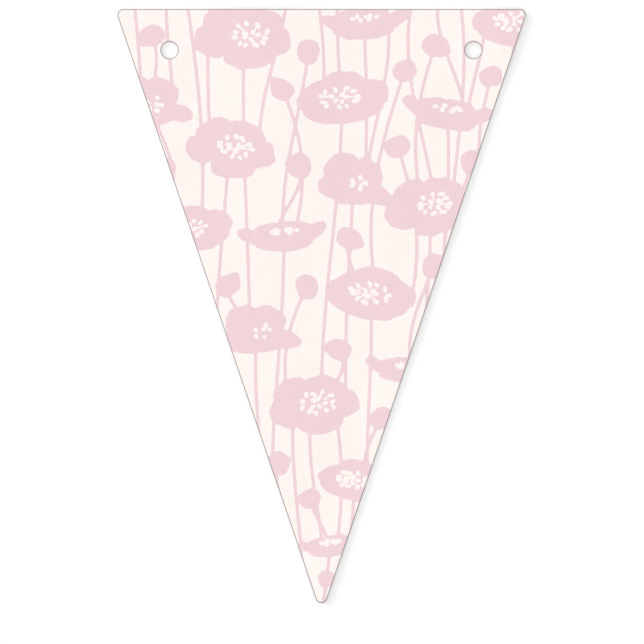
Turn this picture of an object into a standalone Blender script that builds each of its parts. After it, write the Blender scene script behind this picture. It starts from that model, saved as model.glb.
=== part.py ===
"""A printed cloth bunting flag: one tall, round-cornered pennant that lies flat, with a punched
cord hole near each top corner. Metres, +Z up. The printed face looks up, the straight top edge is
towards +Y and the tip towards -Y. The origin is on the resting plane, under the middle of the
flag's outline."""

import math

import bpy

MM = 0.001

# Driving dimensions of the cut cloth
FLAG_WIDTH = 139.7 * MM
FLAG_HEIGHT = 203.2 * MM
CLOTH_THICKNESS = 1.0 * MM
CORNER_RADIUS = 2.0 * MM
CUT_EDGE_ROUND = 0.15 * MM

# The two punched cord holes
HOLE_DIAMETER = 5.9 * MM
HOLE_SPACING = 104.0 * MM
HOLE_BELOW_TOP = 14.0 * MM

# How finely round stretches are cut into straight ones
CORNER_STEP = math.radians(9.0)
HOLE_POINTS = 48
EDGE_ROUND_SEGMENTS = 2

# Points of the filled outline that lie closer than this are one point
WELD_DISTANCE = 0.01 * MM
# Edges that turn by more than this are the rim, and are rounded
RIM_ANGLE = math.radians(60.0)

# Look of the cloth from a few steps away, where its cream ground and pink print blend
CLOTH_COLOUR = (0.94, 0.79, 0.79, 1.0)
CLOTH_ROUGHNESS = 0.85


def clear_scene():
    """Remove what the startup scene holds."""
    for obj in list(bpy.data.objects):
        bpy.data.objects.remove(obj)


def make_collection(name):
    """Return a new collection that is part of the scene."""
    collection = bpy.data.collections.new(name)
    bpy.context.scene.collection.children.link(collection)
    return collection


def make_cloth_material():
    """Return the matt finish of the printed cloth."""
    material = bpy.data.materials.new("printed_cloth")
    material.use_nodes = True
    shader = material.node_tree.nodes["Principled BSDF"]
    shader.inputs["Base Color"].default_value = CLOTH_COLOUR
    shader.inputs["Roughness"].default_value = CLOTH_ROUGHNESS
    shader.inputs["Metallic"].default_value = 0.0
    material.diffuse_color = CLOTH_COLOUR
    return material


def arc_points(centre, radius, angles, step):
    """Return the points of an arc through the given angles, in equal steps from each to the next."""
    turns = [angles[0]]
    for first, last in zip(angles, angles[1:]):
        count = math.ceil(abs(last - first) / step)
        turns += [first + (last - first) * i / count for i in range(1, count + 1)]
    return [(centre[0] + radius * math.cos(a), centre[1] + radius * math.sin(a)) for a in turns]


def outline_points():
    """Return the flag's outline, clockwise from the right end of the top edge.

    The outline is a band pulled round three circles of the corner radius, one at each corner.
    """
    corner_x = FLAG_WIDTH / 2 - CORNER_RADIUS
    corner_y = FLAG_HEIGHT / 2 - CORNER_RADIUS
    # The sloping sides lean in from upright by this angle
    lean = math.atan2(corner_x, 2 * corner_y)
    up = math.pi / 2
    right = arc_points((corner_x, corner_y), CORNER_RADIUS, (up, 0.0, -lean), CORNER_STEP)
    tip = arc_points((0.0, -corner_y), CORNER_RADIUS, (-lean, -up, lean - 2 * up), CORNER_STEP)
    left = arc_points((-corner_x, corner_y), CORNER_RADIUS, (lean - 2 * up, -2 * up, -3 * up), CORNER_STEP)
    return right + tip + left


def hole_points(side):
    """Return the outline of one punched hole; side is -1 for the left one and 1 for the right one."""
    centre = (side * HOLE_SPACING / 2, FLAG_HEIGHT / 2 - HOLE_BELOW_TOP)
    turn = 2 * math.pi
    return arc_points(centre, HOLE_DIAMETER / 2, (0.0, turn), turn / HOLE_POINTS)[:HOLE_POINTS]


def add_closed_spline(curve, points):
    """Add one closed run of straight stretches to a flat curve."""
    spline = curve.splines.new("POLY")
    spline.points.add(len(points) - 1)
    for spline_point, (x, y) in zip(spline.points, points):
        spline_point.co = (x, y, 0.0, 1.0)
    spline.use_cyclic_u = True


def build_flag(collection, material):
    """Build the flag: the filled outline with its two holes, raised to the cloth's thickness."""
    curve = bpy.data.curves.new("flag_outline", "CURVE")
    curve.dimensions = "2D"
    curve.fill_mode = "BOTH"
    curve.extrude = CLOTH_THICKNESS / 2
    add_closed_spline(curve, outline_points())
    for side in (-1, 1):
        add_closed_spline(curve, hole_points(side))
    curve.materials.append(material)

    flag = bpy.data.objects.new("flag", curve)
    flag.location = (0.0, 0.0, CLOTH_THICKNESS / 2)
    collection.objects.link(flag)
    round_cut_edges(flag)
    return flag


def round_cut_edges(flag):
    """Close the filled outline and ease the edges of its cut sides."""
    weld = flag.modifiers.new("close_outline", "WELD")
    weld.merge_threshold = WELD_DISTANCE
    bevel = flag.modifiers.new("ease_cut_edges", "BEVEL")
    bevel.width = CUT_EDGE_ROUND
    bevel.segments = EDGE_ROUND_SEGMENTS
    bevel.limit_method = "ANGLE"
    bevel.angle_limit = RIM_ANGLE


def main():
    clear_scene()
    collection = make_collection("bunting_flag")
    build_flag(collection, make_cloth_material())


main()
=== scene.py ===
"""Dressed model of a printed cloth bunting flag: one die-cut pennant with two punched cord holes.

The sheet is modelled with its woven face, flower print, plain back and cut edge, and lies on a
pale floor in soft light. Metres, +Z up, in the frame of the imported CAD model. The print is laid
out in millimetres on the flag's face, with its zero in the middle of the flag.
"""

import logging
import math
from dataclasses import dataclass
from enum import Enum
from typing import Callable, Mapping, NamedTuple, Sequence, Tuple, Union

import bmesh
import bpy
import numpy as np
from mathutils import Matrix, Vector

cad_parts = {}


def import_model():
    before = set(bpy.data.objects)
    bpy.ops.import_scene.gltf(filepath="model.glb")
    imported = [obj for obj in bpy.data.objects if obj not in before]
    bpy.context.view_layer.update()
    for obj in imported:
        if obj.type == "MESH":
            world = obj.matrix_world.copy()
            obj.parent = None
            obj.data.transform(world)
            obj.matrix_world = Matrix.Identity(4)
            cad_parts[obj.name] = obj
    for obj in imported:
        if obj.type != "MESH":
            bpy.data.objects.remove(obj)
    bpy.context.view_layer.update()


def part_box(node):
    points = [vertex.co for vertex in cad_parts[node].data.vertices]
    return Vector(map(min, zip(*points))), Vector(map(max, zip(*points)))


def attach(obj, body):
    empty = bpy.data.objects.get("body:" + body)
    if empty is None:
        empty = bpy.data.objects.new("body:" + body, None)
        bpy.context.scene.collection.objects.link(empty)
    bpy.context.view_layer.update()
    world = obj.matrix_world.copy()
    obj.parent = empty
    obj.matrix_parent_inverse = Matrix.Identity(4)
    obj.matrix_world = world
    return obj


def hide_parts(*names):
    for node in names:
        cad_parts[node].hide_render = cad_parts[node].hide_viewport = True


MM = 0.001
log = logging.getLogger("bunting_flag")

Colour = Tuple[float, float, float, float]
Pair = Tuple[float, float]


# Shader maths


class Signal:
    """A number on its way through a material. Arithmetic on it adds Math nodes."""

    def __init__(self, bench: "Bench", socket: bpy.types.NodeSocket) -> None:
        """Wrap one output socket of a material's nodes."""
        self.bench = bench
        self.socket = socket

    def math(self, operation: str, *numbers: "Number") -> "Signal":
        """Return the result of a Math node whose first value is this signal."""
        return self.bench.math(operation, self, *numbers)

    def __add__(self, other: "Number") -> "Signal":
        """Return self + other."""
        return self.math("ADD", other)

    def __radd__(self, other: float) -> "Signal":
        """Return other + self."""
        return self.math("ADD", other)

    def __sub__(self, other: "Number") -> "Signal":
        """Return self - other."""
        return self.math("SUBTRACT", other)

    def __rsub__(self, other: float) -> "Signal":
        """Return other - self."""
        return self.bench.math("SUBTRACT", other, self)

    def __mul__(self, other: "Number") -> "Signal":
        """Return self * other."""
        return self.math("MULTIPLY", other)

    def __rmul__(self, other: float) -> "Signal":
        """Return other * self."""
        return self.math("MULTIPLY", other)

    def __abs__(self) -> "Signal":
        """Return the signal without its sign."""
        return self.math("ABSOLUTE")


Number = Union[float, Signal]
Feed = Union[float, Sequence[float], Signal, bpy.types.NodeSocket]


class NoiseSlice(float, Enum):
    """Where each flat pattern cuts through the noise, so that no two look alike."""

    FLOOR_TOOTH = 0.0
    INK_STRAY = 2.0
    WARP_SWAY = 3.0
    UNEVEN_DYE = 5.0
    WEFT_SWAY = 8.0
    SOAKED_INK = 11.0
    WARP_SLUB = 15.0
    WEFT_SLUB = 24.0


class Bench:
    """The nodes of one material, and the few ways in which they are added.

    Its x, y and z are the place on the piece, in millimetres.
    """

    def __init__(self, name: str) -> None:
        """Start a material that holds its shader and the place on the piece.

        Args:
            name: the material's name.
        """
        self.material = bpy.data.materials.new(name)
        self.material.use_nodes = True
        self.tree = self.material.node_tree
        self.shader = self.tree.nodes["Principled BSDF"]
        place = self.node("ShaderNodeTexCoord", {}, {}).outputs["Object"]
        parts = self.node("ShaderNodeSeparateXYZ", {}, {0: place}).outputs
        self.x, self.y, self.z = (Signal(self, part) * (1.0 / MM) for part in parts)

    def feed(self, socket: bpy.types.NodeSocket, value: Feed) -> None:
        """Link or set one input socket.

        Args:
            socket: the input socket.
            value: what it is linked to or set to.
        """
        if isinstance(value, Signal):
            value = value.socket
        if isinstance(value, bpy.types.NodeSocket):
            self.tree.links.new(value, socket)
        else:
            socket.default_value = value

    def dress(self, values: Mapping[str, Feed]) -> None:
        """Link or set the shader's own sockets, by name."""
        for name, value in values.items():
            self.feed(self.shader.inputs[name], value)

    def node(
        self, kind: str, settings: Mapping[str, object], values: Mapping[Union[int, str], Feed]
    ) -> bpy.types.Node:
        """Add one node.

        Args:
            kind: the node's type.
            settings: its own properties, which are set first.
            values: what its input sockets are set or linked to, by name or place.

        Returns:
            The new node.
        """
        node = self.tree.nodes.new(kind)
        for name, setting in settings.items():
            setattr(node, name, setting)
        for place, value in values.items():
            self.feed(node.inputs[place], value)
        return node

    def math(self, operation: str, *numbers: Number) -> Signal:
        """Return the result of a Math node on these numbers."""
        node = self.node("ShaderNodeMath", {"operation": operation}, dict(enumerate(numbers)))
        return Signal(self, node.outputs[0])

    def step(self, number: Signal, low: float, high: float) -> Signal:
        """Turn a number into a share.

        Args:
            number: the number.
            low: where the share is 0.
            high: where it is 1.

        Returns:
            The share, with an eased passage between the two.
        """
        values = {"Value": number, "From Min": low, "From Max": high}
        node = self.node("ShaderNodeMapRange", {"interpolation_type": "SMOOTHSTEP"}, values)
        return Signal(self, node.outputs["Result"])

    def attribute(self, name: str) -> Signal:
        """Return a number that the mesh holds at its points."""
        node = self.node("ShaderNodeAttribute", {"attribute_name": name}, {})
        return Signal(self, node.outputs["Fac"])

    def vector(self, x: Number, y: Number, z: Number) -> bpy.types.NodeSocket:
        """Return a vector of three numbers."""
        return self.node("ShaderNodeCombineXYZ", {}, {0: x, 1: y, 2: z}).outputs[0]

    def noise(self, x: Number, y: Number, z: Number, detail: float) -> Signal:
        """Make soft noise, with about one lump to a unit.

        Args:
            x: where each point is on the noise's first axis.
            y: where it is on the second.
            z: where it is on the third, or the slice that a flat pattern uses.
            detail: how many finer layers lie on the lumps.

        Returns:
            The noise, which goes about as far below 0 as above it.
        """
        values = {"Vector": self.vector(x, y, z), "Scale": 1.0, "Detail": detail}
        node = self.node("ShaderNodeTexNoise", {}, values)
        return Signal(self, node.outputs["Fac"]) - 0.5

    def flat_noise(self, lumps: float, cut: NoiseSlice, detail: float) -> Signal:
        """Return soft noise over the flat of the piece, with so many lumps to a millimetre."""
        return self.noise(self.x * lumps, self.y * lumps, cut, detail)

    def blend(self, share: Number, first: Feed, second: Feed) -> bpy.types.NodeSocket:
        """Return a mix of two colours. A Mix node's sockets share names, so they go by place."""
        node = self.node("ShaderNodeMix", {"data_type": "RGBA"}, {0: share, 6: first, 7: second})
        return node.outputs[2]

    def shade(self, colour: bpy.types.NodeSocket, strength: Number) -> bpy.types.NodeSocket:
        """Return a colour made lighter or darker."""
        values = {"Vector": colour, "Scale": strength}
        return self.node("ShaderNodeVectorMath", {"operation": "SCALE"}, values).outputs[0]

    def raise_surface(self, height: Signal, depth: float) -> None:
        """Let the surface catch the light as if it were raised.

        Args:
            height: the height at each point, from 0 to 1.
            depth: what a height of 1 stands for, in metres.
        """
        values = {"Height": height, "Distance": depth, "Strength": 1.0}
        bump = self.node("ShaderNodeBump", {}, values)
        self.dress({"Normal": bump.outputs["Normal"]})


# Finishes


class Threads(NamedTuple):
    """What a weave gives to a finish: its height, from 0 to 1, and its slubs, about 0."""

    height: Signal
    slub: Signal


@dataclass(frozen=True)
class PlainWeave:
    """Fine cotton in plain weave, one thread over and one under.

    Attributes:
        pitch: width of a thread, in millimetres.
        wander: how far a thread strays from its line, in threads.
        wander_run: how wide a patch of threads that stray alike is, in millimetres.
        wander_ratio: width of such a patch over its length.
        slub_run: how long a thick or thin stretch of a thread is, in millimetres.
        slub_change: how much the next thread differs, where 1 is altogether.
    """

    pitch: float = 0.42
    wander: float = 0.5
    wander_run: float = 5.0
    wander_ratio: float = 0.6
    slub_run: float = 7.0
    slub_change: float = 0.9

    def threads(self, bench: Bench) -> Threads:
        """Weave the surface.

        Args:
            bench: the material that is made.

        Returns:
            The weave's height and its slubs.
        """
        x, y = bench.x, bench.y
        across, along = 1.0 / self.wander_run, self.wander_ratio / self.wander_run
        warp_sway = bench.noise(x * across, y * along, NoiseSlice.WARP_SWAY, 1.0)
        weft_sway = bench.noise(x * along, y * across, NoiseSlice.WEFT_SWAY, 1.0)
        u = x * (1.0 / self.pitch) + warp_sway * self.wander
        v = y * (1.0 / self.pitch) + weft_sway * self.wander
        side_u = (u * math.pi).math("SINE")
        side_v = (v * math.pi).math("SINE")
        warp = abs(side_u) * (0.5 + 0.5 * side_v * side_u.math("SIGN"))
        weft = abs(side_v) * (0.5 - 0.5 * side_u * side_v.math("SIGN"))
        run, change = self.pitch / self.slub_run, self.slub_change
        warp_slub = bench.noise(u * change, v * run, NoiseSlice.WARP_SLUB, 0.0)
        weft_slub = bench.noise(u * run, v * change, NoiseSlice.WEFT_SLUB, 0.0)
        on_top = warp.math("GREATER_THAN", weft)
        slub = weft_slub + on_top * (warp_slub - weft_slub)
        return Threads(warp.math("MAXIMUM", weft), slub)


@dataclass(frozen=True)
class WovenCloth:
    """What the two sides of the cloth have in common.

    Attributes:
        ground: colour of the plain cloth.
        weave: the cloth's weave.
        weave_depth: how deep the weave is, in metres.
        slub_depth: how far a slub stands out, as a share of that.
        painted_hollow_shade: painted shade between the threads, as a lightness where 1 leaves a
            colour as it is.
        painted_crown_light: painted light on the threads' crowns: how much lighter they are.
        slub_light: how much the threads' lightness varies.
        roughness: roughness between the threads.
        crown_gloss: how much less rough the crowns are.
        shine: strength of the reflection.
        fuzz: strength of the soft light that the fibres catch.
    """

    ground: Colour = (0.911, 0.839, 0.804, 1.0)
    weave: PlainWeave = PlainWeave()
    weave_depth: float = 0.06 * MM
    slub_depth: float = 0.5
    painted_hollow_shade: float = 0.93
    painted_crown_light: float = 0.09
    slub_light: float = 0.07
    roughness: float = 0.94
    crown_gloss: float = 0.10
    shine: float = 0.25
    fuzz: float = 0.08

    def lightness(self, threads: Threads) -> Signal:
        """Return the weave's painted shade and light: darker hollows, lighter crowns, and the
        slubs' own tone.
        """
        # painted shade in the hollows and painted light on the crowns; the slub term is the
        # threads' own tone
        crowns = self.painted_crown_light * threads.height
        return self.painted_hollow_shade + crowns + self.slub_light * threads.slub

    def dullness(self, threads: Threads) -> Signal:
        """Return the roughness of the bare threads."""
        return self.roughness - self.crown_gloss * threads.height

    def weave_in(
        self, bench: Bench, threads: Threads, colour: bpy.types.NodeSocket, roughness: Signal
    ) -> bpy.types.Material:
        """Give the material its colour and its threads.

        Args:
            bench: the material that is made.
            threads: the weave's threads.
            colour: the colour at each point.
            roughness: the roughness at each point.

        Returns:
            The finish as a material.
        """
        bench.raise_surface(threads.height + threads.slub * self.slub_depth, self.weave_depth)
        bench.dress(
            {
                "Base Color": colour,
                "Roughness": roughness,
                "Specular IOR Level": self.shine,
                "Sheen Weight": self.fuzz,
            }
        )
        return bench.material


@dataclass(frozen=True)
class PrintedCloth(WovenCloth):
    """The printed face: ink on the upper threads of a cream ground, and a dark line of painted
    shade along the cut.

    Attributes:
        ink: colour of the print.
        ink_softness: width of the passage from cloth to ink, in millimetres.
        ink_stray: how far the ink's edge follows the threads, in millimetres.
        stray_lumps: how often it strays, in lumps to a millimetre.
        stray_level: the height on a thread at which the ink's edge stays where it is drawn.
        hollow_ink: how much ink the cloth takes between the threads.
        crown_heights: the heights on a thread between which that rises to the full.
        ink_gloss: how much less rough the ink is.
        dye_light: how much the cloth's lightness varies from place to place.
        dye_lumps: how often, in lumps to a millimetre.
        edge_shade_colour: colour of the painted shade along the cut edges.
        cut_width: width of that line, in millimetres.
        cut_softness: how soft its inner side is, as a share of its width.
        cut_stray: how far it follows the threads, in millimetres.
        cut_cover: how much of the cloth's colour it hides.
    """

    ink: Colour = (0.803, 0.591, 0.630, 1.0)
    ink_softness: float = 0.14
    ink_stray: float = 0.12
    stray_lumps: float = 1.4
    stray_level: float = 0.6
    hollow_ink: float = 0.88
    crown_heights: Pair = (0.25, 0.7)
    ink_gloss: float = 0.04
    dye_light: float = 0.03
    dye_lumps: float = 0.05
    edge_shade_colour: Colour = (0.165, 0.135, 0.145, 1.0)
    cut_width: float = 0.265
    cut_softness: float = 0.1
    cut_stray: float = 0.06
    cut_cover: float = 0.9

    def make(self) -> bpy.types.Material:
        """Make the finish.

        Returns:
            The finish as a material.
        """
        bench = Bench("printed_cloth_face")
        threads = self.weave.threads(bench)
        inked = self.inked(bench, threads)
        crown = bench.step(threads.height, *self.crown_heights)
        takes_ink = self.hollow_ink + (1.0 - self.hollow_ink) * crown
        colour = bench.blend(inked * takes_ink, self.ground, self.ink)
        dye = bench.flat_noise(self.dye_lumps, NoiseSlice.UNEVEN_DYE, 2.0) * self.dye_light
        # the weave's painted shade and light, with the dye's own uneven tone
        colour = bench.shade(colour, self.lightness(threads) + dye)
        # painted shade: a dark line along the cut edges of the outline and the holes
        colour = bench.blend(self.edge_shade_mask(bench, threads) * self.cut_cover, colour, self.edge_shade_colour)
        roughness = self.dullness(threads) - self.ink_gloss * inked
        return self.weave_in(bench, threads, colour, roughness)

    def inked(self, bench: Bench, threads: Threads) -> Signal:
        """Find where the ink lies.

        Args:
            bench: the material that is made.
            threads: the weave's threads.

        Returns:
            1 in the ink and 0 on bare cloth, with a narrow passage between.
        """
        sway = bench.flat_noise(self.stray_lumps, NoiseSlice.INK_STRAY, 1.0)
        stray = sway * (2.0 * self.ink_stray) + (threads.height - self.stray_level) * self.ink_stray
        soft = self.ink_softness / 2
        return bench.step(bench.attribute("ink") + stray, -soft, soft)

    def edge_shade_mask(self, bench: Bench, threads: Threads) -> Signal:
        """Find the line of painted shade along the cut edges.

        Args:
            bench: the material that is made.
            threads: the weave's threads.

        Returns:
            1 in the line and 0 elsewhere.
        """
        away = bench.attribute("cut") + threads.slub * self.cut_stray
        inner, outer = 1.0 - self.cut_softness, 1.0 + self.cut_softness
        return 1.0 - bench.step(away, self.cut_width * inner, self.cut_width * outer)


@dataclass(frozen=True)
class ClothBack(WovenCloth):
    """The unprinted back: raw off-white cloth with a faint show-through of the print.

    Its own values for the woven cloth come first.

    Attributes:
        show_through: colour where the print shows through.
        strength: how much of it shows.
        soak_depths: how deep in the ink on the face the show-through starts and is full.
        soak_stray: how far those wander, in millimetres.
        soak_lumps: how often, in lumps to a millimetre.
    """

    ground: Colour = (0.80, 0.75, 0.70, 1.0)
    weave_depth: float = 0.07 * MM
    painted_hollow_shade: float = 0.92
    painted_crown_light: float = 0.10
    slub_light: float = 0.08
    roughness: float = 0.96
    crown_gloss: float = 0.08
    show_through: Colour = (0.76, 0.60, 0.61, 1.0)
    strength: float = 0.3
    soak_depths: Pair = (-0.5, 0.6)
    soak_stray: float = 0.9
    soak_lumps: float = 0.5

    def make(self) -> bpy.types.Material:
        """Make the finish.

        Returns:
            The finish as a material.
        """
        bench = Bench("cloth_back")
        threads = self.weave.threads(bench)
        stray = bench.flat_noise(self.soak_lumps, NoiseSlice.SOAKED_INK, 2.0) * self.soak_stray
        soaked = bench.step(bench.attribute("ink") + stray, *self.soak_depths)
        colour = bench.blend(soaked * self.strength, self.ground, self.show_through)
        # the weave's painted shade and light
        colour = bench.shade(colour, self.lightness(threads))
        return self.weave_in(bench, threads, colour, self.dullness(threads))


@dataclass(frozen=True)
class CutEdge:
    """The cut edge: thread ends side by side with painted shade between them, and fibres that stand
    out a little.

    Attributes:
        ends: colour of the thread ends.
        gap_shade: colour of the painted shade between them.
        pitch: width of a thread, in millimetres.
        end_ratio: width of a thread's end over its height.
        end_reach: how far from an end's middle it starts to darken and is all gap, in threads.
        depth: how far the ends stand out, in metres.
        fuzz_lumps: how fine the fibres are, in lumps to a millimetre.
        fuzz_light: how much they change the lightness.
        fuzz_depth: how far they stand out, as a share of the ends.
        roughness: roughness of the ends.
        fuzz_roughness: how much the fibres change it.
        shine: strength of the reflection.
    """

    ends: Colour = (0.80, 0.74, 0.71, 1.0)
    gap_shade: Colour = (0.58, 0.52, 0.50, 1.0)
    pitch: float = 0.42
    end_ratio: float = 0.8
    end_reach: Pair = (0.15, 0.75)
    depth: float = 0.08 * MM
    fuzz_lumps: float = 6.0
    fuzz_light: float = 0.25
    fuzz_depth: float = 0.4
    roughness: float = 0.9
    fuzz_roughness: float = 0.1
    shine: float = 0.2

    def make(self) -> bpy.types.Material:
        """Make the finish.

        Returns:
            The finish as a material.
        """
        bench = Bench("cut_cloth_edge")
        x, y, z = bench.x, bench.y, bench.z
        scale, lumps = 1.0 / self.pitch, self.fuzz_lumps
        place = bench.vector(x * scale, y * scale, z * scale * self.end_ratio)
        cells = bench.node("ShaderNodeTexVoronoi", {}, {"Vector": place, "Scale": 1.0})
        end = 1.0 - bench.step(Signal(bench, cells.outputs["Distance"]), *self.end_reach)
        fuzz = bench.noise(x * lumps, y * lumps, z * lumps, 2.0)
        # painted shade in the gaps between the thread ends
        colour = bench.shade(bench.blend(end, self.gap_shade, self.ends), 1.0 + self.fuzz_light * fuzz)
        bench.raise_surface(end + fuzz * self.fuzz_depth, self.depth)
        bench.dress(
            {
                "Base Color": colour,
                "Roughness": self.roughness + self.fuzz_roughness * fuzz,
                "Specular IOR Level": self.shine,
            }
        )
        return bench.material


@dataclass(frozen=True)
class StudioFloor:
    """The pale paper floor, with the least trace of tooth, painted in as shade and light.

    Attributes:
        hollows: colour of the paper in the hollows of its tooth, painted a shade darker.
        heights: colour of the paper between them, painted a shade lighter.
        lumps: how fine the tooth is, in lumps to a millimetre.
    """

    hollows: Colour = (0.896, 0.896, 0.896, 1.0)
    heights: Colour = (0.904, 0.904, 0.904, 1.0)
    lumps: float = 0.2

    def make(self) -> bpy.types.Material:
        """Make the finish.

        Returns:
            The finish as a material.
        """
        bench = Bench("studio_floor")
        tooth = bench.flat_noise(self.lumps, NoiseSlice.FLOOR_TOOTH, 2.0) + 0.5
        # painted shade in the tooth's hollows and painted light on its heights
        colour = bench.blend(tooth, self.hollows, self.heights)
        bench.dress({"Base Color": colour, "Roughness": 1.0, "Specular IOR Level": 0.0})
        return bench.material


# The flower print


class BloomKind(Enum):
    """How a flower head of the print is turned."""

    FACING = "facing"
    OPEN = "open"
    BOWL = "bowl"
    NODDING = "nodding"


FACING, OPEN, BOWL, NODDING = BloomKind


class Petal(NamedTuple):
    """One petal: its middle and half sizes in head widths, and its turn in degrees."""

    x: float
    y: float
    half_width: float
    half_height: float
    turn: float


class Heart(NamedTuple):
    """A head's stamens: their middle and half sizes in head widths, and their numbers."""

    x: float
    y: float
    half_width: float
    half_height: float
    outer: int
    inner: int


class Bloom(NamedTuple):
    """A flower head: its kind, middle and width, turn in degrees, and its stem's foot and bow."""

    kind: BloomKind
    x: float
    y: float
    width: float
    turn: float
    foot_x: float
    foot_y: float
    bow: float

    def spot(self, x: float, y: float, share: float) -> np.ndarray:
        """Return the place x and y head widths from the middle, or this share of that way."""
        return turned(np.array([[x, y]]) * self.width * share, self.turn)[0] + (self.x, self.y)


class Bud(NamedTuple):
    """A bud: its middle and half sizes, turn in degrees, and its stem's foot and bow."""

    x: float
    y: float
    half_width: float
    half_height: float
    turn: float
    foot_x: float
    foot_y: float
    bow: float


class Stem(NamedTuple):
    """A stem whose flower is off the cloth: its top, foot and bow."""

    x: float
    y: float
    foot_x: float
    foot_y: float
    bow: float


class Tip(NamedTuple):
    """A pointed place on an outline: where it is in radians, its height and its width."""

    place: float
    height: float
    width: float


PETALS = {
    FACING: (
        Petal(0.00, 0.00, 0.30, 0.19, 0.0),
        Petal(-0.20, 0.15, 0.21, 0.15, 28.0),
        Petal(0.16, 0.17, 0.23, 0.14, -16.0),
        Petal(0.34, -0.01, 0.15, 0.15, 12.0),
        Petal(0.07, -0.19, 0.25, 0.13, 6.0),
        Petal(-0.31, -0.07, 0.18, 0.14, -24.0),
    ),
    OPEN: (
        Petal(0.00, 0.00, 0.30, 0.15, 0.0),
        Petal(0.03, 0.15, 0.22, 0.12, -6.0),
        Petal(-0.30, 0.06, 0.19, 0.10, 32.0),
        Petal(0.32, 0.05, 0.17, 0.12, -24.0),
        Petal(-0.14, -0.12, 0.27, 0.12, -14.0),
        Petal(0.20, -0.11, 0.22, 0.12, 20.0),
    ),
    BOWL: (
        Petal(0.00, -0.05, 0.32, 0.12, 0.0),
        Petal(-0.19, 0.07, 0.17, 0.07, 12.0),
        Petal(0.10, 0.08, 0.20, 0.07, -6.0),
        Petal(-0.34, 0.02, 0.16, 0.07, -30.0),
        Petal(0.33, 0.01, 0.17, 0.08, 28.0),
    ),
    NODDING: (
        Petal(-0.04, 0.02, 0.28, 0.18, 0.0),
        Petal(-0.15, 0.15, 0.22, 0.18, 34.0),
        Petal(0.15, 0.12, 0.21, 0.16, -36.0),
        Petal(-0.26, -0.08, 0.18, 0.12, -16.0),
        Petal(0.30, -0.12, 0.21, 0.10, -20.0),
        Petal(0.02, -0.16, 0.29, 0.10, 4.0),
    ),
}
HEARTS = {
    FACING: Heart(0.06, 0.02, 0.195, 0.125, 11, 5),
    OPEN: Heart(-0.02, 0.01, 0.210, 0.105, 11, 5),
    BOWL: Heart(0.01, 0.05, 0.150, 0.030, 6, 1),
    NODDING: Heart(0.06, 0.00, 0.100, 0.085, 5, 1),
}

BLOOMS = (
    Bloom(FACING, -26.5, 92.0, 34.0, -5.0, -24.5, -8.0, -1.0),
    Bloom(BOWL, 14.5, 97.0, 32.0, 5.0, 15.0, 42.0, 1.0),
    Bloom(OPEN, 66.0, 97.0, 32.0, 0.0, 64.0, 60.0, 0.0),
    Bloom(NODDING, -59.0, 69.0, 30.0, 5.0, -51.0, 40.0, 3.0),
    Bloom(OPEN, 7.0, 71.0, 34.0, 5.0, 0.0, -30.0, 0.0),
    Bloom(BOWL, 43.0, 66.0, 32.0, -8.0, 41.0, 0.0, 1.5),
    Bloom(FACING, -31.5, 54.0, 31.0, -10.0, -36.0, -30.0, -2.0),
    Bloom(NODDING, 11.0, 42.0, 28.0, -4.0, 8.5, -36.0, -1.5),
    Bloom(OPEN, -45.0, 26.0, 30.0, 10.0, -37.0, -12.0, 1.0),
    Bloom(FACING, 37.0, 34.0, 31.0, 6.0, 34.0, -30.0, 1.0),
    Bloom(BOWL, -13.0, 24.0, 31.0, 6.0, -17.0, -60.0, 0.5),
    Bloom(OPEN, 17.0, 4.0, 34.0, -8.0, 15.5, -57.0, 0.5),
    Bloom(NODDING, -22.0, -9.0, 29.0, 8.0, -21.0, -50.0, -1.5),
    Bloom(BOWL, 29.0, -22.0, 28.0, -6.0, 24.0, -60.0, 1.0),
    Bloom(FACING, -3.0, -34.0, 32.0, 6.0, 0.5, -83.0, -3.0),
    Bloom(OPEN, 11.0, -60.0, 27.0, -8.0, 7.5, -104.0, 0.5),
    Bloom(BOWL, 3.0, -82.0, 22.0, 8.0, 1.0, -104.0, -0.5),
)
BUDS = (
    Bud(-58.0, 92.5, 4.4, 3.6, 16.0, -60.0, 66.0, 3.5),
    Bud(-4.5, 87.0, 3.8, 4.3, -8.0, -13.0, 24.0, -2.5),
    Bud(39.0, 89.0, 4.7, 3.8, -16.0, 34.5, 34.0, -7.0),
    Bud(28.5, 80.5, 4.2, 3.6, 28.0, 19.0, 4.0, -9.0),
    Bud(-13.5, 74.0, 4.2, 3.5, -28.0, -9.5, 24.0, 8.0),
    Bud(58.0, 78.5, 4.0, 3.5, 12.0, 54.5, 44.0, -3.0),
    Bud(-7.5, 48.0, 4.0, 4.3, 0.0, -16.0, 24.0, 2.5),
    Bud(26.0, 54.5, 4.5, 3.6, 24.0, 31.0, 4.0, 6.0),
    Bud(-54.0, 47.0, 4.2, 3.6, 10.0, -49.0, 28.0, 2.0),
    Bud(51.5, 49.0, 3.8, 4.3, 8.0, 46.0, 20.0, -3.0),
    Bud(9.5, 23.0, 4.5, 3.6, -26.0, 13.0, 5.0, -2.0),
    Bud(38.5, 13.5, 3.9, 4.4, -8.0, 31.0, -22.0, -5.0),
    Bud(-32.0, 7.0, 4.4, 3.6, 30.0, -25.5, -8.0, -1.0),
    Bud(-5.0, 6.5, 3.8, 4.3, 10.0, -10.5, -34.0, -7.0),
    Bud(6.0, -15.0, 4.3, 3.6, -24.0, 0.5, -34.0, 4.5),
    Bud(20.5, -38.5, 4.1, 3.7, 20.0, 15.5, -60.0, -4.0),
    Bud(-15.0, -54.0, 3.8, 4.1, 8.0, -8.5, -84.0, -2.0),
    Bud(-4.0, -66.0, 3.8, 3.3, 26.0, 2.5, -84.0, 1.0),
    Bud(1.5, -93.5, 2.6, 2.9, 12.0, 0.0, -104.0, 0.5),
)
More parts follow.
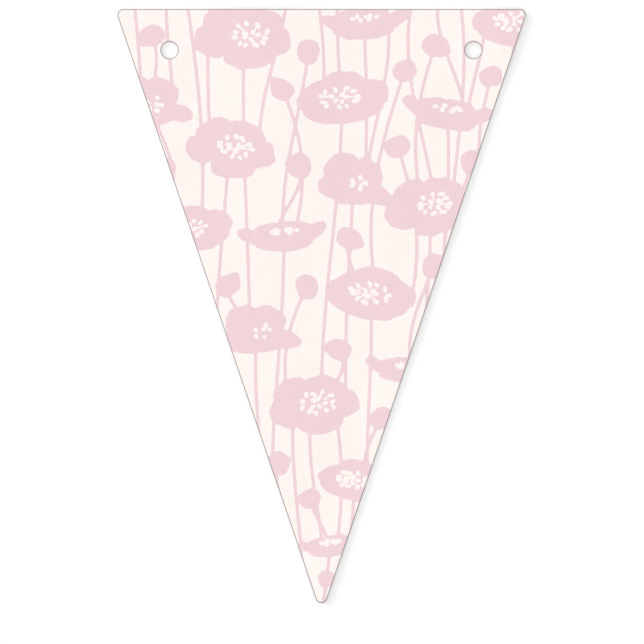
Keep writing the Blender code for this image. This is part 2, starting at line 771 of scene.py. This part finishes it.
STEMS = (
    Stem(-64.0, 104.0, -62.0, 66.0, 1.0),
    Stem(-53.0, 104.0, -50.5, 66.0, -0.5),
    Stem(-46.0, 104.0, -41.5, 24.0, 4.0),
    Stem(-38.0, 104.0, -38.0, 54.0, -1.5),
    Stem(-12.0, 104.0, -21.0, 54.0, -2.0),
    Stem(-1.0, 104.0, 0.5, 70.0, 1.5),
    Stem(5.5, 104.0, 6.5, 70.0, -0.5),
    Stem(22.0, 104.0, 15.0, 42.0, 4.0),
    Stem(31.0, 104.0, 39.0, 34.0, -5.0),
    Stem(40.0, 104.0, 49.0, 66.0, -2.0),
    Stem(47.5, 104.0, 44.5, 34.0, 3.5),
    Stem(56.0, 104.0, 50.0, 64.0, 1.5),
    Stem(-9.5, -34.0, -6.5, -92.0, -1.5),
    Stem(4.0, -34.0, 5.0, -84.0, 4.0),
)


def turned(points: np.ndarray, degrees: float) -> np.ndarray:
    """Return flat points turned to the left about zero."""
    cosine, sine = math.cos(math.radians(degrees)), math.sin(math.radians(degrees))
    return points @ np.array([[cosine, sine], [-sine, cosine]])


def distance_to_line(points: np.ndarray, starts: np.ndarray, ends: np.ndarray) -> np.ndarray:
    """Measure how far points are from a broken line.

    Args:
        points: flat points, one a row.
        starts: where each stretch of the line starts.
        ends: where each stretch ends.

    Returns:
        Each point's distance to the nearest stretch.
    """
    nearest = np.full(len(points), np.inf)
    for start, end in zip(starts, ends):
        along = end - start
        share = np.clip((points - start) @ along / max(along @ along, 1e-12), 0.0, 1.0)
        gap = points - start - share[:, None] * along
        nearest = np.minimum(nearest, np.hypot(gap[:, 0], gap[:, 1]))
    return nearest


def depth_inside(points: np.ndarray, outline: np.ndarray) -> np.ndarray:
    """Measure how deep points are inside a closed outline.

    Args:
        points: flat points, one a row.
        outline: the outline's corners in order.

    Returns:
        Each point's distance to the outline, below 0 outside it.
    """
    x, y = points.T
    crossed = np.zeros(len(points), bool)
    ends = np.roll(outline, -1, axis=0)
    for (start_x, start_y), (end_x, end_y) in zip(outline, ends):
        if start_y != end_y:
            spans = (start_y > y) != (end_y > y)
            crossing = start_x + (y - start_y) * (end_x - start_x) / (end_y - start_y)
            crossed ^= spans & (x < crossing)
    away = distance_to_line(points, outline, ends)
    return np.where(crossed, away, -away)


@dataclass
class InkMap:
    """How deep in the ink each point of the cloth is, in millimetres, below 0 on bare cloth.

    Attributes:
        points: flat points of the cloth, one a row.
        reach: the depth past which it no longer matters.
    """

    points: np.ndarray
    reach: float = 1.5

    def __post_init__(self) -> None:
        """Start with bare cloth."""
        self.depth = np.full(len(self.points), -self.reach)

    def near(self, shape: np.ndarray, margin: float) -> np.ndarray:
        """Find the points that are close to a shape.

        Args:
            shape: the shape's own points.
            margin: how far its ink reaches past them.

        Returns:
            The places of those points in the list.
        """
        low = shape.min(0) - self.reach - margin
        high = shape.max(0) + self.reach + margin
        return np.flatnonzero(((self.points >= low) & (self.points <= high)).all(1))

    def fill(self, outline: np.ndarray) -> None:
        """Ink all that is inside a closed outline.

        Args:
            outline: the outline's corners in order.
        """
        index = self.near(outline, 0.0)
        depth = np.clip(depth_inside(self.points[index], outline), -self.reach, self.reach)
        self.depth[index] = np.maximum(self.depth[index], depth)

    def line_depth(self, line: np.ndarray, half_width: float) -> Tuple[np.ndarray, np.ndarray]:
        """Measure how deep the points close to a line of even width are in it.

        Args:
            line: the points of its middle.
            half_width: half its width.

        Returns:
            The places of those points in the list, and their depths.
        """
        index = self.near(line, half_width)
        away = distance_to_line(self.points[index], line[:-1], line[1:])
        return index, np.clip(half_width - away, -self.reach, self.reach)

    def stroke(self, line: np.ndarray, half_width: float) -> None:
        """Ink a line of even width."""
        index, depth = self.line_depth(line, half_width)
        self.depth[index] = np.maximum(self.depth[index], depth)

    def spare(self, line: np.ndarray, half_width: float) -> None:
        """Keep a line of even width free of ink."""
        index, depth = self.line_depth(line, half_width)
        self.depth[index] = np.minimum(self.depth[index], -depth)


@dataclass(frozen=True)
class Stamens:
    """The bare stamens of a flower head: a ring of long dots, and some shorter ones within.

    Attributes:
        outer_reach: how far out the outer dots end, as shares of the heart's oval.
        inner_reach: how far out the inner dots end.
        half_width: half the width of a dot, in millimetres.
        length: length of a dot, as a share of the heart's oval.
        stray: how far it strays to each side, as a share of the way to the next.
        lean: how far it leans to each side, in radians.
        filament_odds: how often a thin filament leads to it, from 0 to 1.
        filament_start: where the filament starts, as a share of the heart's oval.
        filament_half_width: half its width, in millimetres.
    """

    outer_reach: Pair = (0.84, 1.04)
    inner_reach: Pair = (0.34, 0.50)
    half_width: Pair = (0.60, 0.80)
    length: float = 0.12
    stray: float = 0.22
    lean: float = 0.10
    filament_odds: float = 0.35
    filament_start: float = 0.45
    filament_half_width: float = 0.3

    def draw(self, cloth: InkMap, bloom: Bloom, random: np.random.Generator) -> None:
        """Spare the stamens of one head.

        Args:
            cloth: the cloth's ink.
            bloom: the flower head.
            random: its own random numbers.
        """
        heart = HEARTS[bloom.kind]
        middle = bloom.spot(heart.x, heart.y, 1.0)
        size = np.array([heart.half_width, heart.half_height]) * bloom.width

        def spot(angle: float, reach: float) -> np.ndarray:
            """Return a place on the heart's oval."""
            oval = np.array([[math.cos(angle), math.sin(angle)]]) * size * reach
            return turned(oval, bloom.turn)[0] + middle

        for count, ends in ((heart.outer, self.outer_reach), (heart.inner, self.inner_reach)):
            for number in range(count):
                angle = 2 * math.pi * (number + random.uniform(-self.stray, self.stray)) / count
                reach = random.uniform(*ends)
                half_width = random.uniform(*self.half_width)
                lean = random.uniform(-self.lean, self.lean)
                dot = np.stack([spot(angle - lean, reach - self.length), spot(angle + lean, reach)])
                cloth.spare(dot, half_width)
                if random.random() < self.filament_odds:
                    filament = np.stack([spot(angle, self.filament_start), spot(angle, reach)])
                    cloth.spare(filament, self.filament_half_width)


@dataclass(frozen=True)
class FlowerPrint:
    """The all-over print of poppy heads, buds and long stems, drawn flower by flower.

    Attributes:
        stem_half_width: half the width of a stem, in millimetres.
        stem_points: points of a stem's line.
        bow_place: how far from each end a stem bows out, as a share of its fall.
        foot_bow: how much of the bow there is near the foot.
        outline_points: points of a petal's or bud's outline.
        fullness: how square petals and buds are; 2 is a plain oval.
        waves: the waves of an edge: how often each goes round, and its share.
        wave_strength: how much of that share each shows.
        petal_wave: how much a petal's edge waves, as a share of its size.
        petal_way: how far out a petal lies, where 1 is as drawn.
        petal_scale: how large it is.
        petal_turn: how far it turns to each side, in degrees.
        corner_odds: how often it has a corner to each side of its outer end, from 0 to 1.
        corner_side: how far to the side that corner is, in radians.
        corner_stray: how far it strays from there.
        corner_height: its height, as a share of the petal's size.
        corner_width: its width to each side, in radians.
        bud_wave: how much a bud's edge waves.
        bud_tip: height and width of a bud's pointed end, as a corner's.
        bud_tip_stray: how far that strays from the bud's left or right end, in radians.
        tip_hollow: how hollow the sides of corners and pointed ends are; 1 is straight.
        bloom_seed: where the heads' random numbers start, one seed a head.
        bud_seed: where the buds' start.
        stamens: the heads' stamens.
    """

    stem_half_width: float = 0.57
    stem_points: int = 28
    bow_place: float = 0.35
    foot_bow: float = 0.6
    outline_points: int = 96
    fullness: float = 2.35
    waves: Tuple[Tuple[int, float], ...] = ((2, 0.5), (3, 1.0), (5, 0.8), (8, 0.45), (13, 0.22))
    wave_strength: Pair = (0.5, 1.0)
    petal_wave: float = 0.035
    petal_way: Pair = (0.92, 1.06)
    petal_scale: Pair = (0.94, 1.06)
    petal_turn: float = 5.0
    corner_odds: float = 0.45
    corner_side: float = 0.7
    corner_stray: float = 0.3
    corner_height: Pair = (0.07, 0.16)
    corner_width: Pair = (0.22, 0.40)
    bud_wave: float = 0.03
    bud_tip: Pair = (0.26, 0.7)
    bud_tip_stray: float = 0.5
    tip_hollow: float = 1.5
    bloom_seed: int = 100
    bud_seed: int = 500
    stamens: Stamens = Stamens()

    def depth(self, points: np.ndarray) -> np.ndarray:
        """Print the cloth.

        Args:
            points: flat points of the cloth in millimetres, one a row.

        Returns:
            How deep in the ink each point is, in millimetres, below 0 on bare cloth.
        """
        cloth = InkMap(points)
        for flower in BLOOMS + BUDS + STEMS:
            cloth.stroke(self.stem_line(flower), self.stem_half_width)
        for number, bud in enumerate(BUDS):
            random = np.random.default_rng(self.bud_seed + number)
            self.draw_bud(cloth, bud, random, pointed=number % 2 == 0)
        for number, bloom in enumerate(BLOOMS):
            self.draw_bloom(cloth, bloom, np.random.default_rng(self.bloom_seed + number))
        return cloth.depth

    def stem_line(self, flower: Union[Bloom, Bud, Stem]) -> np.ndarray:
        """Draw the line of a flower's stem.

        Args:
            flower: the flower, bud or bare stem.

        Returns:
            The line's points, from the flower down to the stem's foot.
        """
        inward = self.bow_place * (flower.y - flower.foot_y)
        share = np.linspace(0.0, 1.0, self.stem_points)[:, None]
        holds = (
            (flower.x, flower.y),
            (flower.x + flower.bow, flower.y - inward),
            (flower.foot_x + self.foot_bow * flower.bow, flower.foot_y + inward),
            (flower.foot_x, flower.foot_y),
        )
        top, upper, lower, foot = (np.array(hold) for hold in holds)
        rest = 1.0 - share
        upper_half = rest**3 * top + 3 * rest**2 * share * upper
        return upper_half + 3 * rest * share**2 * lower + share**3 * foot

    def wavy_oval(
        self,
        middle: np.ndarray,
        size: Pair,
        turn: float,
        waving: float,
        random: np.random.Generator,
        tips: Sequence[Tip],
    ) -> np.ndarray:
        """Draw a petal or bud: an oval with a gently waving edge.

        Args:
            middle: its middle.
            size: half its width and half its height.
            turn: its turn in degrees.
            waving: how much its edge waves.
            random: the flower's own random numbers.
            tips: its pointed places.

        Returns:
            The closed outline's points.
        """
        angle = np.linspace(0.0, 2 * math.pi, self.outline_points, endpoint=False)
        power = self.fullness
        reach = (np.abs(np.cos(angle)) ** power + np.abs(np.sin(angle)) ** power) ** (-1.0 / power)
        for cycles, share in self.waves:
            start = random.uniform(0, 2 * math.pi)
            height = waving * share * random.uniform(*self.wave_strength)
            reach += height * np.sin(cycles * angle + start)
        for tip in tips:
            away = np.abs((angle - tip.place + math.pi) % (2 * math.pi) - math.pi)
            reach += tip.height * np.clip(1.0 - away / tip.width, 0.0, 1.0) ** self.tip_hollow
        oval = np.stack([size[0] * reach * np.cos(angle), size[1] * reach * np.sin(angle)], 1)
        return turned(oval, turn) + middle

    def draw_bud(self, cloth: InkMap, bud: Bud, random: np.random.Generator, pointed: bool) -> None:
        """Ink one bud.

        Args:
            cloth: the cloth's ink.
            bud: the bud.
            random: its own random numbers.
            pointed: whether one of its ends is pointed.
        """
        stray = self.bud_tip_stray
        end = random.choice((0.0, math.pi)) + random.uniform(-stray, stray)
        tips = [Tip(end, *self.bud_tip)] if pointed else []
        middle = np.array([bud.x, bud.y])
        size = (bud.half_width, bud.half_height)
        cloth.fill(self.wavy_oval(middle, size, bud.turn, self.bud_wave, random, tips))

    def draw_bloom(self, cloth: InkMap, bloom: Bloom, random: np.random.Generator) -> None:
        """Ink one flower head petal by petal, and spare its stamens.

        Args:
            cloth: the cloth's ink.
            bloom: the flower head.
            random: its own random numbers.
        """
        for petal in PETALS[bloom.kind]:
            middle = bloom.spot(petal.x, petal.y, random.uniform(*self.petal_way))
            outward = math.atan2(petal.y / petal.half_height, petal.x / petal.half_width)
            tips = []
            for side in (-self.corner_side, self.corner_side):
                if random.random() < self.corner_odds:
                    place = outward + side + random.uniform(-self.corner_stray, self.corner_stray)
                    height = random.uniform(*self.corner_height)
                    tips.append(Tip(place, height, random.uniform(*self.corner_width)))
            scale = bloom.width * random.uniform(*self.petal_scale)
            size = (petal.half_width * scale, petal.half_height * scale)
            turn = petal.turn + bloom.turn + random.uniform(-self.petal_turn, self.petal_turn)
            cloth.fill(self.wavy_oval(middle, size, turn, self.petal_wave, random, tips))
        self.stamens.draw(cloth, bloom, random)


# The flag


class SoftRise(NamedTuple):
    """A low, long rise of the cloth: its two ends, its height and its reach to each side."""

    x: float
    y: float
    end_x: float
    end_y: float
    height: float
    reach: float


RISES = (
    SoftRise(69.0, 97.0, 1.0, -101.0, 0.30, 12.0),
    SoftRise(68.0, 99.0, 66.0, 90.0, 0.30, 22.0),
    SoftRise(0.0, -101.0, 1.0, -92.0, 0.22, 24.0),
    SoftRise(-20.0, 90.0, -10.0, 40.0, 0.50, 30.0),
    SoftRise(34.0, 70.0, 16.0, 0.0, 0.42, 28.0),
    SoftRise(-24.0, 10.0, -8.0, -50.0, 0.36, 24.0),
)


class Part(Enum):
    """A kind of part of a mesh: the names of its select mode and of its list in the mesh."""

    FACE = ("FACE", "faces")
    EDGE = ("EDGE", "edges")
    POINT = ("VERT", "verts")


class Workpiece:
    """A mesh in edit mode, whose parts are picked by where they are."""

    def __init__(self, piece: bpy.types.Object) -> None:
        """Open the piece in edit mode."""
        self.piece = piece
        bpy.ops.object.mode_set(mode="EDIT")

    def close(self) -> None:
        """Leave edit mode."""
        bpy.ops.object.mode_set(mode="OBJECT")

    def pick_all(self) -> None:
        """Select everything."""
        bpy.ops.mesh.select_all(action="SELECT")

    def pick(self, kind: Part, wanted: Callable[[object], bool]) -> None:
        """Select the parts of one kind that are wanted, and no others.

        Args:
            kind: the kind of part.
            wanted: whether a part is wanted.
        """
        mode, parts = kind.value
        bpy.ops.mesh.select_all(action="DESELECT")
        bpy.ops.mesh.select_mode(type=mode)
        mesh = bmesh.from_edit_mesh(self.piece.data)
        for part in getattr(mesh, parts):
            if wanted(part):
                part.select_set(True)
        mesh.select_flush_mode()
        bmesh.update_edit_mesh(self.piece.data)


@dataclass
class Flag:
    """The flag: one die-cut sheet of printed cloth with two punched cord holes.

    Attributes:
        width: width of the top edge over its corner rounds.
        height: height from the top edge to the tip.
        thickness: thickness of the cloth, which its rises lift to the CAD sheet's height.
        corner_radius: radius of the three corner rounds.
        hole_diameter: diameter of a cord hole.
        hole_spacing: distance between the two holes' middles.
        hole_drop: distance of the holes' middles below the top edge.
        edge_round: radius of the eased edges of the cut.
        hole_line: how much thinner the line of painted shade along the cut is round a hole.
        grip: how close to a rise's line the cloth is held while it is lifted.
        rim_lift: how high the cloth stands round a cord hole.
        rim_reach: how far out from the hole that goes.
        blank_cuts: cuts across each side in each of the two divisions of the blank.
        corner_cuts: straight cuts that make the round of a top corner.
        tip_cuts: straight cuts that make the round of the tip.
        corner_zone: how far round a corner's middle they reach, in corner radii.
        hole_points: points of a hole's circle.
        rim_steps: widths of the rings of faces round a hole.
        clearance: how far past a hole's edge the cloth is opened before the rings go in.
        gap_reach: how far past the rings the cloth's first points can be.
        heart_spread: how far out the cloth is divided finely, as a share of a heart's oval.
        heart_margin: how much further than that, in millimetres.
        ease_faces: rows of faces on an eased edge.
        ease_angle: how far an edge bends, in radians, if it is one of the cut's.
        smooth_angle: how far an edge bends, in radians, if it is still shaded smooth.
        pattern: the print on its face.
    """

    width: float
    height: float
    thickness: float = 0.45 * MM
    corner_radius: float = 2.0 * MM
    hole_diameter: float = 5.9 * MM
    hole_spacing: float = 104.0 * MM
    hole_drop: float = 14.0 * MM
    edge_round: float = 0.09 * MM
    hole_line: float = 0.04 * MM
    grip: float = 0.8 * MM
    rim_lift: float = 0.14 * MM
    rim_reach: float = 12.0 * MM
    blank_cuts: int = 15
    corner_cuts: int = 15
    tip_cuts: int = 21
    corner_zone: float = 4.0
    hole_points: int = 48
    rim_steps: Tuple[float, ...] = (0.3 * MM, 0.4 * MM)
    clearance: float = 1.1 * MM
    gap_reach: float = 3.0 * MM
    heart_spread: float = 1.15
    heart_margin: float = 0.7
    ease_faces: int = 2
    ease_angle: float = math.radians(60.0)
    smooth_angle: float = math.radians(50.0)
    pattern: FlowerPrint = FlowerPrint()

    @property
    def corner_middles(self) -> Tuple[Vector, Vector, Vector]:
        """The middles of the corner rounds.

        Returns:
            The right one, the tip's and the left one.
        """
        x = self.width / 2 - self.corner_radius
        y = self.height / 2 - self.corner_radius
        return Vector((x, y)), Vector((0.0, -y)), Vector((-x, y))

    @property
    def lean(self) -> float:
        """How far the sloping sides lean in from upright."""
        right, _, _ = self.corner_middles
        return math.atan2(right.x, 2 * right.y)

    @property
    def hole_middles(self) -> Tuple[Vector, Vector]:
        """The middles of the two cord holes.

        Returns:
            The left one and the right one.
        """
        x = self.hole_spacing / 2
        y = self.height / 2 - self.hole_drop
        return Vector((-x, y)), Vector((x, y))

    @property
    def area(self) -> float:
        """Flat area of the cut sheet, which is the band round its three corner circles.

        Returns:
            The area in square metres, less the holes.
        """
        right, _, _ = self.corner_middles
        triangle = 2 * right.x * right.y
        way_round = 2 * right.x + 2 * math.hypot(right.x, 2 * right.y)
        corners = math.pi * self.corner_radius**2
        holes = 2 * math.pi * (self.hole_diameter / 2) ** 2
        return triangle + way_round * self.corner_radius + corners - holes

    def build(self) -> bpy.types.Object:
        """Make the flag.

        Returns:
            The finished piece.
        """
        piece = self.cut_blank()
        work = Workpiece(piece)
        self.round_corners(work)
        for middle in self.hole_middles:
            self.punch_hole(work, middle)
        self.refine_hearts(work)
        self.lay_softly(work)
        work.pick_all()
        bpy.ops.mesh.normals_make_consistent(inside=False)
        work.close()
        self.note_print(piece)
        self.thicken(piece)
        return piece

    def cut_blank(self) -> bpy.types.Object:
        """Cut the plain triangle whose sides touch the corner rounds, in small even faces.

        Returns:
            The blank, one flat sheet.
        """
        right, _, _ = self.corner_middles
        cosine, sine = math.cos(self.lean), math.sin(self.lean)
        to_side = right.x * cosine - right.y * sine + self.corner_radius
        half_top = (to_side + self.height / 2 * sine) / cosine
        depth = self.height / 2 + to_side / sine
        bpy.ops.object.select_all(action="DESELECT")
        bpy.ops.mesh.primitive_circle_add(vertices=3, radius=1.0, fill_type="NGON")
        piece = bpy.context.object
        piece.name = piece.data.name = "printed_flag"
        work = Workpiece(piece)
        work.pick_all()
        bpy.ops.transform.rotate(value=math.pi, orient_axis="Z", center_override=(0.0, 0.0, 0.0))
        slant = math.pi / 3
        stretch = (half_top / math.sin(slant), depth / (1.0 + math.cos(slant)), 1.0)
        bpy.ops.transform.resize(value=stretch, center_override=(0.0, 0.0, 0.0))
        lift = (0.0, self.height / 2 - depth / 3, self.thickness)
        bpy.ops.transform.translate(value=lift)
        for _ in range(2):
            bpy.ops.mesh.subdivide(number_cuts=self.blank_cuts)
        work.close()
        return piece

    def round_corners(self, work: Workpiece) -> None:
        """Cut each corner round with a run of straight cuts that touch its circle.

        Args:
            work: the sheet.
        """
        right, tip, left = self.corner_middles
        up = math.pi / 2
        turns = (
            (right, up, -self.lean, self.corner_cuts),
            (tip, -self.lean, self.lean - math.pi, self.tip_cuts),
            (left, self.lean - math.pi, -3 * up, self.corner_cuts),
        )
        for middle, first, last, cuts in turns:
            for number in range(1, cuts + 1):
                angle = first + (last - first) * number / (cuts + 1)
                self.cut_off(work, middle, angle)

    def cut_off(self, work: Workpiece, middle: Vector, angle: float) -> None:
        """Cut off what is outside one line that touches a corner round.

        Args:
            work: the sheet.
            middle: the middle of the corner round.
            angle: the way that the line faces.
        """
        outward = Vector((math.cos(angle), math.sin(angle), 0.0))
        near = self.corner_radius * self.corner_zone
        work.pick(Part.FACE, lambda face: (face.calc_center_median().xy - middle).length < near)
        place = middle.to_3d() + outward * self.corner_radius
        place.z = self.thickness
        bpy.ops.mesh.bisect(plane_co=place, plane_no=outward, clear_outer=True)

    def punch_hole(self, work: Workpiece, middle: Vector) -> None:
        """Open a hole, add its rim in three rings of edges and fill up to the cloth.

        Args:
            work: the sheet.
            middle: the hole's middle.
        """
        radius = self.hole_diameter / 2
        centre = (middle.x, middle.y, self.thickness)
        opened = radius + self.clearance
        work.pick(Part.POINT, lambda vertex: (vertex.co.xy - middle).length < opened)
        bpy.ops.mesh.delete(type="VERT")
        bpy.ops.mesh.primitive_circle_add(vertices=self.hole_points, radius=radius, location=centre)
        reached = radius
        for step in self.rim_steps:
            bpy.ops.mesh.extrude_edges_move()
            wider = (reached + step) / reached
            bpy.ops.transform.resize(value=(wider, wider, 1.0), center_override=centre)
            reached += step
        inner, outer = reached - self.rim_steps[-1] / 2, reached + self.gap_reach

        def faces_gap(edge: bmesh.types.BMEdge) -> bool:
            """Whether an edge is on one side of the gap between the rim and the cloth."""
            away = [(vertex.co.xy - middle).length for vertex in edge.verts]
            return edge.is_boundary and min(away) > inner and max(away) < outer

        work.pick(Part.EDGE, faces_gap)
        bpy.ops.mesh.fill(use_beauty=True)

    def refine_hearts(self, work: Workpiece) -> None:
        """Divide the faces under the stamens once more, because the dots there are small.

        Args:
            work: the sheet.
        """
        mesh = bmesh.from_edit_mesh(work.piece.data)
        mesh.faces.index_update()
        places = np.array([face.calc_center_median().xy for face in mesh.faces]) / MM
        within = np.zeros(len(places), bool)
        for bloom in BLOOMS:
            heart = HEARTS[bloom.kind]
            size = np.array([heart.half_width, heart.half_height]) * bloom.width
            away = turned(places - bloom.spot(heart.x, heart.y, 1.0), -bloom.turn)
            away /= size * self.heart_spread + self.heart_margin
            within |= np.hypot(away[:, 0], away[:, 1]) < 1.0
        work.pick(Part.FACE, lambda face: bool(within[face.index]))
        bpy.ops.mesh.subdivide(number_cuts=1, ngon=False)

    def note_print(self, piece: bpy.types.Object) -> None:
        """Note at each point how deep in the ink it is and how far from the cut.

        Args:
            piece: the sheet, which gets both as attributes, in millimetres.
        """
        places = np.empty(len(piece.data.vertices) * 3, np.float32)
        piece.data.vertices.foreach_get("co", places)
        points = places.reshape(-1, 3)[:, :2].astype(float) / MM
        for name, values in (("ink", self.pattern.depth(points)), ("cut", self.from_cut(points))):
            note = piece.data.attributes.new(name, "FLOAT", "POINT")
            note.data.foreach_set("value", values.astype(np.float32))

    def from_cut(self, points: np.ndarray) -> np.ndarray:
        """Measure how far points of the cloth are from its cut edges.

        Args:
            points: flat points in millimetres, one a row.

        Returns:
            Each point's distance to the outline or to a hole, in millimetres.
        """
        corners = np.array([tuple(middle) for middle in self.corner_middles]) / MM
        hole = (self.hole_diameter / 2 - self.hole_line) / MM
        away = depth_inside(points, corners) + self.corner_radius / MM
        for middle in self.hole_middles:
            from_middle = points - np.array(tuple(middle)) / MM
            to_hole = np.hypot(from_middle[:, 0], from_middle[:, 1]) - hole
            away = np.minimum(away, to_hole)
        return np.maximum(away, 0.0)

    def lay_softly(self, work: Workpiece) -> None:
        """Lift the cloth in a few low rises, along one side and round its holes.

        Args:
            work: the sheet.
        """
        for rise in RISES:
            start, end = Vector((rise.x, rise.y)) * MM, Vector((rise.end_x, rise.end_y)) * MM
            self.lift(work, start, end, self.grip, rise.height * MM, rise.reach * MM)
        rim = self.hole_diameter / 2 + self.edge_round
        for middle in self.hole_middles:
            self.lift(work, middle, middle, rim, self.rim_lift, self.rim_reach)

    def lift(
        self, work: Workpiece, start: Vector, end: Vector, grip: float, height: float, reach: float
    ) -> None:
        """Pull the cloth up along one line, so that it falls away softly to both sides.

        Args:
            work: the sheet.
            start: one end of the line.
            end: the other end.
            grip: how close to the line the cloth is held.
            height: how high it is pulled.
            reach: how far the rise goes out.
        """
        along = end - start

        def held(vertex: bmesh.types.BMVert) -> bool:
            """Find whether the cloth is held at a point.

            Args:
                vertex: the point.

            Returns:
                Whether it is close enough to the line.
            """
            gap = vertex.co.xy - start
            share = min(max(gap.dot(along) / max(along.length_squared, MM * MM), 0.0), 1.0)
            return (gap - share * along).length < grip

        work.pick(Part.POINT, held)
        bpy.ops.transform.translate(
            value=(0.0, 0.0, height),
            use_proportional_edit=True,
            proportional_edit_falloff="SMOOTH",
            proportional_size=reach,
        )

    def thicken(self, piece: bpy.types.Object) -> None:
        """Give the sheet its back and its cut edge, and ease the edges of the cut.

        Args:
            piece: the sheet.
        """
        wall = piece.modifiers.new("cloth_thickness", "SOLIDIFY")
        wall.thickness = self.thickness
        wall.offset = -1.0
        wall.material_offset = 1
        wall.material_offset_rim = 2
        for finish in (PrintedCloth(), ClothBack(), CutEdge()):
            piece.data.materials.append(finish.make())
        ease = piece.modifiers.new("ease_cut_edges", "BEVEL")
        ease.width = self.edge_round
        ease.segments = self.ease_faces
        ease.limit_method = "ANGLE"
        ease.angle_limit = self.ease_angle
        ease.use_clamp_overlap = False
        for modifier in (wall, ease):
            bpy.ops.object.modifier_apply(modifier=modifier.name)
        bpy.ops.object.shade_smooth_by_angle(angle=self.smooth_angle)

    def declare(self, piece: bpy.types.Object) -> None:
        """Attach the piece to the root body and hide the CAD part that it stands for.

        Args:
            piece: the finished flag.
        """
        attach(piece, "root")
        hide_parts("flag")
        self.area


# The studio


@dataclass
class Studio:
    """A pale floor, soft light all round, a low soft light from the upper left, and the camera.

    Attributes:
        floor_side: side of the square floor.
        floor_drop: how little it lies below the cloth, so that the two never meet in one plane.
        sky: strength of the light from all round.
        sun: strength of the low light.
        sun_height: how high that light stands, in radians.
        sun_slant: how far it comes from the top of the picture, where from the left is 1.
        sun_spread: how wide it is, in radians.
        view_width: width of the picture at the height of the cloth.
        view_middle: what the middle of the picture shows.
        lens: focal length in millimetres.
        sensor: sensor width in millimetres.
    """

    floor_side: float = 6.0
    floor_drop: float = 0.02 * MM
    sky: float = 1.02
    sun: float = 1.48
    sun_height: float = math.radians(16.0)
    sun_slant: float = 0.5
    sun_spread: float = math.radians(20.0)
    view_width: float = 220.45 * MM
    view_middle: Tuple[float, float, float] = (0.17 * MM, -5.50 * MM, 0.5 * MM)
    lens: float = 250.0
    sensor: float = 36.0

    def build(self) -> None:
        """Set up the floor, the lights, the camera and the picture's colours."""
        self.lay_floor()
        self.light()
        self.aim_camera()
        bpy.context.scene.view_settings.view_transform = "Standard"

    def lay_floor(self) -> None:
        """Lay the floor under the flag."""
        bpy.ops.object.select_all(action="DESELECT")
        bpy.ops.mesh.primitive_plane_add(size=self.floor_side)
        floor = bpy.context.object
        floor.name = "studio_floor"
        floor.location.z = -self.floor_drop
        floor.data.materials.append(StudioFloor().make())

    def light(self) -> None:
        """Light the flag from all round, and more from the upper left."""
        world = bpy.data.worlds.new("studio_light")
        world.use_nodes = True
        background = world.node_tree.nodes["Background"]
        background.inputs["Color"].default_value = (1.0, 1.0, 1.0, 1.0)
        background.inputs["Strength"].default_value = self.sky
        bpy.context.scene.world = world
        bpy.ops.object.light_add(type="SUN")
        sun = bpy.context.object
        sun.name = "low_light"
        sun.data.energy = self.sun
        sun.data.angle = self.sun_spread
        flat = math.cos(self.sun_height) / math.hypot(1.0, self.sun_slant)
        falls = Vector((flat, -self.sun_slant * flat, -math.sin(self.sun_height)))
        sun.rotation_euler = falls.to_track_quat("-Z", "Y").to_euler()

    def aim_camera(self) -> None:
        """Put the camera straight above the flag, far off with a long lens."""
        x, y, z = self.view_middle
        distance = self.view_width * self.lens / self.sensor
        bpy.ops.object.camera_add(location=(x, y, z + distance), rotation=(0.0, 0.0, 0.0))
        camera = bpy.context.object
        camera.name = "camera_above"
        camera.data.lens = self.lens
        camera.data.sensor_width = self.sensor
        bpy.context.scene.camera = camera


def main() -> None:
    """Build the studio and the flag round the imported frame."""
    logging.basicConfig(level=logging.INFO, format="%(name)s: %(message)s")
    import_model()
    Studio().build()
    log.info("studio: floor, lights and camera")
    low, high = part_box("flag")
    flag = Flag(width=high.x - low.x, height=high.y - low.y)
    piece = flag.build()
    flag.declare(piece)
    triangles = sum(len(face.vertices) - 2 for face in piece.data.polygons)
    log.info("%s: %d triangles, %.5f square metres of cloth", piece.name, triangles, flag.area)


if __name__ == "__main__":
    main()
